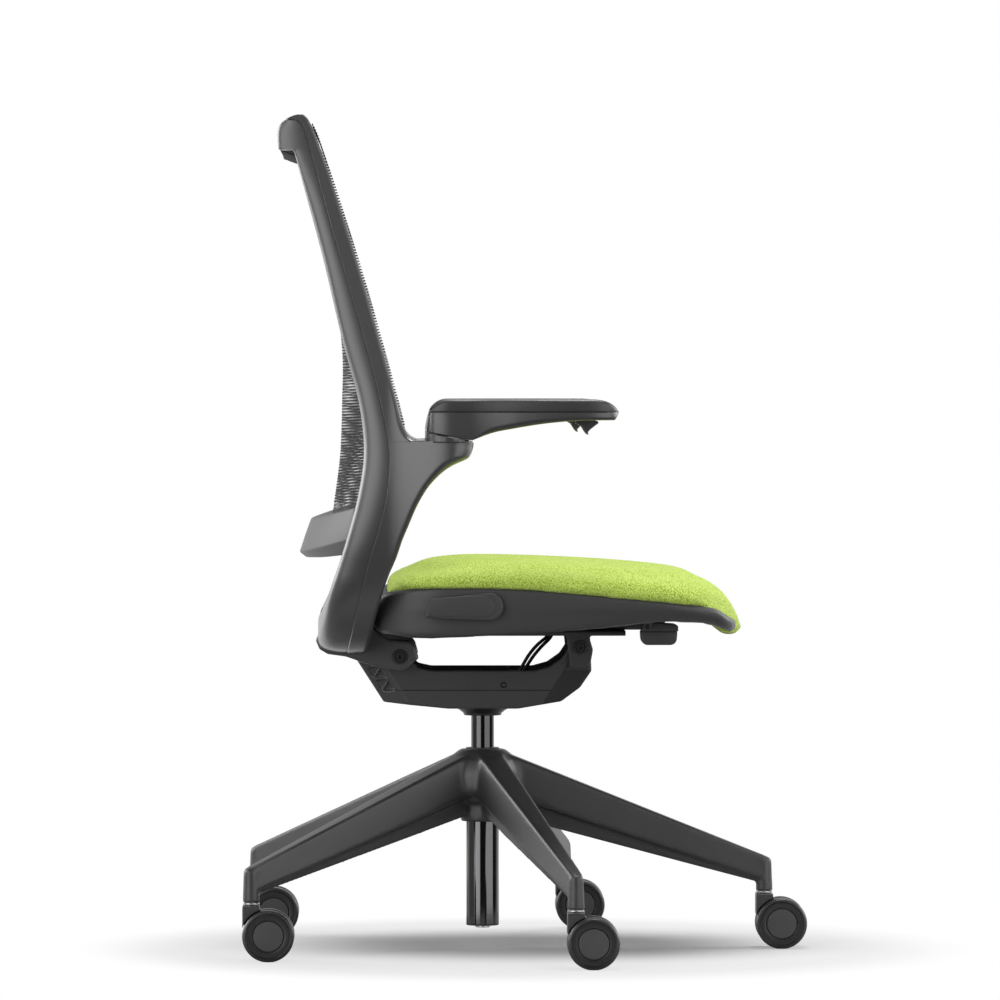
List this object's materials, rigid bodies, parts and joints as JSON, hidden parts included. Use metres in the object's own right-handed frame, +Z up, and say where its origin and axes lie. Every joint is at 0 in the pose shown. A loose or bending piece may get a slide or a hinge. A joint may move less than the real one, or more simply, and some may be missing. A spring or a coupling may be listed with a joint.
{
  "type": "office chair",
  "caption": "Office chair with a reclining mesh back, green padded seat that slides and tilts, flip-up arms, gas lift and a star base on twin-wheel casters.",
  "frame": {"origin": "centre of the bounding box at floor level", "axes": "+X the way the chair faces, +Y its left, +Z up"},
  "size_m": [0.6844, 0.7044, 1.01],
  "materials": {
    "black_plastic": "fine-grained moulded plastic",
    "grey_plastic": "smooth moulded plastic",
    "tread": "hard nylon",
    "chrome": "bright plated",
    "steel": "zinc plated",
    "black_steel": "gloss black",
    "seat_fabric": "lime green coarse weave over foam",
    "mesh_fabric": "black elastic mesh"
  },
  "bodies": {
    "base": {"star_base": "black_plastic", "outer_tube": "black_steel", "guide_bush": "black_plastic", "piston_rod": "steel", "thrust_bearing": "steel"},
    "lift": {"gas_cylinder": "black_steel"},
    "valve": {"valve_button": "steel"},
    "control": {"control_tub": "black_plastic", "column_socket": "black_steel", "rear_pivot_pin": "steel", "front_pivot_pin": "steel", "tilt_spring": "steel", "lift_cable": "black_plastic", "tilt_cable": "black_plastic"},
    "rocker": {"lift_rocker": "black_steel"},
    "back": {"frame_left": "grey_plastic", "frame_right": "grey_plastic", "carrier_left": "grey_plastic", "carrier_right": "grey_plastic", "top_rail": "grey_plastic", "lumbar_bar": "grey_plastic", "yoke": "grey_plastic", "back_mesh": "mesh_fabric", "arm_block_left": "grey_plastic", "arm_block_right": "grey_plastic", "arm_pin_left": "steel", "arm_pin_right": "steel"},
    "carriage": {"seat_carriage": "black_steel"},
    "seat": {"seat_shell": "black_plastic", "seat_cushion": "seat_fabric"},
    "height_paddle": {"height_paddle": "black_plastic"},
    "tilt_paddle": {"tilt_paddle": "black_plastic"},
    "depth_handle": {"depth_handle": "black_plastic"},
    "arm_right": {"arm_body_right": "grey_plastic", "arm_pad_right": "black_plastic"},
    "trigger_right": {"arm_trigger_right": "grey_plastic"},
    "arm_left": {"arm_body_left": "grey_plastic", "arm_pad_left": "black_plastic"},
    "trigger_left": {"arm_trigger_left": "grey_plastic"},
    "caster_1": {"caster_1_stem": "chrome", "caster_1_hood": "black_plastic"},
    "wheel_1_right": {"caster_1_wheel_right": "tread"},
    "wheel_1_left": {"caster_1_wheel_left": "tread"},
    "caster_2": {"caster_2_stem": "chrome", "caster_2_hood": "black_plastic"},
    "wheel_2_right": {"caster_2_wheel_right": "tread"},
    "wheel_2_left": {"caster_2_wheel_left": "tread"},
    "caster_3": {"caster_3_stem": "chrome", "caster_3_hood": "black_plastic"},
    "wheel_3_right": {"caster_3_wheel_right": "tread"},
    "wheel_3_left": {"caster_3_wheel_left": "tread"},
    "caster_4": {"caster_4_stem": "chrome", "caster_4_hood": "black_plastic"},
    "wheel_4_right": {"caster_4_wheel_right": "tread"},
    "wheel_4_left": {"caster_4_wheel_left": "tread"},
    "caster_5": {"caster_5_stem": "chrome", "caster_5_hood": "black_plastic"},
    "wheel_5_right": {"caster_5_wheel_right": "tread"},
    "wheel_5_left": {"caster_5_wheel_left": "tread"}
  },
  "joints": [
    {"name": "lift_slide", "type": "slide", "parent": "base", "child": "lift", "axis": [0, 0, 1], "range_m": [-0.03, 0.07]},
    {"name": "valve_press", "type": "slide", "parent": "lift", "child": "valve", "axis": [0, 0, -1], "range_m": [0, 0.003]},
    {"name": "seat_swivel", "type": "hinge", "parent": "lift", "child": "control", "pos_m": [-0.05335, 0, 0.29], "axis": [0, 0, 1], "continuous": true},
    {"name": "rocker_turn", "type": "hinge", "parent": "control", "child": "rocker", "pos_m": [-0.01535, 0, 0.3315], "axis": [0, -1, 0], "range_deg": [0, 4.5]},
    {"name": "back_recline", "type": "hinge", "parent": "control", "child": "back", "pos_m": [-0.15395, 0, 0.3593], "axis": [0, -1, 0], "range_deg": [0, 18], "stiffness_Nm_per_rad": 60, "springref_deg": -20.05},
    {"name": "seat_tilt", "type": "hinge", "parent": "control", "child": "carriage", "pos_m": [0.06385, 0, 0.3702], "axis": [0, 1, 0], "range_deg": [0, 5]},
    {"name": "seat_depth", "type": "slide", "parent": "carriage", "child": "seat", "axis": [1, 0, 0], "range_m": [0, 0.045]},
    {"name": "height_paddle_turn", "type": "hinge", "parent": "seat", "child": "height_paddle", "pos_m": [-0.04805, -0.236, 0.424], "axis": [0, -1, 0], "range_deg": [0, 16], "stiffness_Nm_per_rad": 0.6, "springref_deg": -8.59},
    {"name": "tilt_paddle_turn", "type": "hinge", "parent": "seat", "child": "tilt_paddle", "pos_m": [-0.04805, 0.236, 0.424], "axis": [0, -1, 0], "range_deg": [0, 16], "stiffness_Nm_per_rad": 0.6, "springref_deg": -8.59},
    {"name": "depth_handle_lift", "type": "hinge", "parent": "seat", "child": "depth_handle", "pos_m": [0.14265, -0.15, 0.3985], "axis": [0, -1, 0], "range_deg": [0, 12], "stiffness_Nm_per_rad": 0.6, "springref_deg": -11.46},
    {"name": "arm_flip_right", "type": "hinge", "parent": "back", "child": "arm_right", "pos_m": [-0.10335, -0.262, 0.636], "axis": [0, -1, 0], "range_deg": [0, 37]},
    {"name": "trigger_pull_right", "type": "hinge", "parent": "arm_right", "child": "trigger_right", "pos_m": [0.06735, -0.262, 0.647], "axis": [0, 1, 0], "range_deg": [0, 12], "stiffness_Nm_per_rad": 0.2, "springref_deg": -11.46},
    {"name": "arm_flip_left", "type": "hinge", "parent": "back", "child": "arm_left", "pos_m": [-0.10335, 0.262, 0.636], "axis": [0, -1, 0], "range_deg": [0, 37]},
    {"name": "trigger_pull_left", "type": "hinge", "parent": "arm_left", "child": "trigger_left", "pos_m": [0.06735, 0.262, 0.647], "axis": [0, 1, 0], "range_deg": [0, 12], "stiffness_Nm_per_rad": 0.2, "springref_deg": -11.46},
    {"name": "caster_1_swivel", "type": "hinge", "parent": "base", "child": "caster_1", "pos_m": [0.29065, 0, 0.06], "axis": [0, 0, 1], "continuous": true},
    {"name": "wheel_1_right_roll", "type": "hinge", "parent": "caster_1", "child": "wheel_1_right", "pos_m": [0.31115, -0.0165, 0.03053], "axis": [0, 1, 0], "continuous": true},
    {"name": "wheel_1_left_roll", "type": "hinge", "parent": "caster_1", "child": "wheel_1_left", "pos_m": [0.31115, 0.0165, 0.03053], "axis": [0, 1, 0], "continuous": true},
    {"name": "caster_2_swivel", "type": "hinge", "parent": "base", "child": "caster_2", "pos_m": [0.05295, 0.32716, 0.06], "axis": [0, 0, 1], "continuous": true},
    {"name": "wheel_2_right_roll", "type": "hinge", "parent": "caster_2", "child": "wheel_2_right", "pos_m": [0.07345, 0.31066, 0.03053], "axis": [0, 1, 0], "continuous": true},
    {"name": "wheel_2_left_roll", "type": "hinge", "parent": "caster_2", "child": "wheel_2_left", "pos_m": [0.07345, 0.34366, 0.03053], "axis": [0, 1, 0], "continuous": true},
    {"name": "caster_3_swivel", "type": "hinge", "parent": "base", "child": "caster_3", "pos_m": [-0.33165, 0.2022, 0.06], "axis": [0, 0, 1], "continuous": true},
    {"name": "wheel_3_right_roll", "type": "hinge", "parent": "caster_3", "child": "wheel_3_right", "pos_m": [-0.31115, 0.1857, 0.03053], "axis": [0, 1, 0], "continuous": true},
    {"name": "wheel_3_left_roll", "type": "hinge", "parent": "caster_3", "child": "wheel_3_left", "pos_m": [-0.31115, 0.2187, 0.03053], "axis": [0, 1, 0], "continuous": true},
    {"name": "caster_4_swivel", "type": "hinge", "parent": "base", "child": "caster_4", "pos_m": [-0.33165, -0.2022, 0.06], "axis": [0, 0, 1], "continuous": true},
    {"name": "wheel_4_right_roll", "type": "hinge", "parent": "caster_4", "child": "wheel_4_right", "pos_m": [-0.31115, -0.2187, 0.03053], "axis": [0, 1, 0], "continuous": true},
    {"name": "wheel_4_left_roll", "type": "hinge", "parent": "caster_4", "child": "wheel_4_left", "pos_m": [-0.31115, -0.1857, 0.03053], "axis": [0, 1, 0], "continuous": true},
    {"name": "caster_5_swivel", "type": "hinge", "parent": "base", "child": "caster_5", "pos_m": [0.05295, -0.32716, 0.06], "axis": [0, 0, 1], "continuous": true},
    {"name": "wheel_5_right_roll", "type": "hinge", "parent": "caster_5", "child": "wheel_5_right", "pos_m": [0.07345, -0.34366, 0.03053], "axis": [0, 1, 0], "continuous": true},
    {"name": "wheel_5_left_roll", "type": "hinge", "parent": "caster_5", "child": "wheel_5_left", "pos_m": [0.07345, -0.31066, 0.03053], "axis": [0, 1, 0], "continuous": true}
  ],
  "couplings": [
    {"joint": "seat_tilt", "follows": "back_recline", "ratio": 0.2777},
    {"joint": "rocker_turn", "follows": "height_paddle_turn", "ratio": 0.28},
    {"joint": "valve_press", "follows": "height_paddle_turn", "m_per_rad": 0.0107}
  ]
}
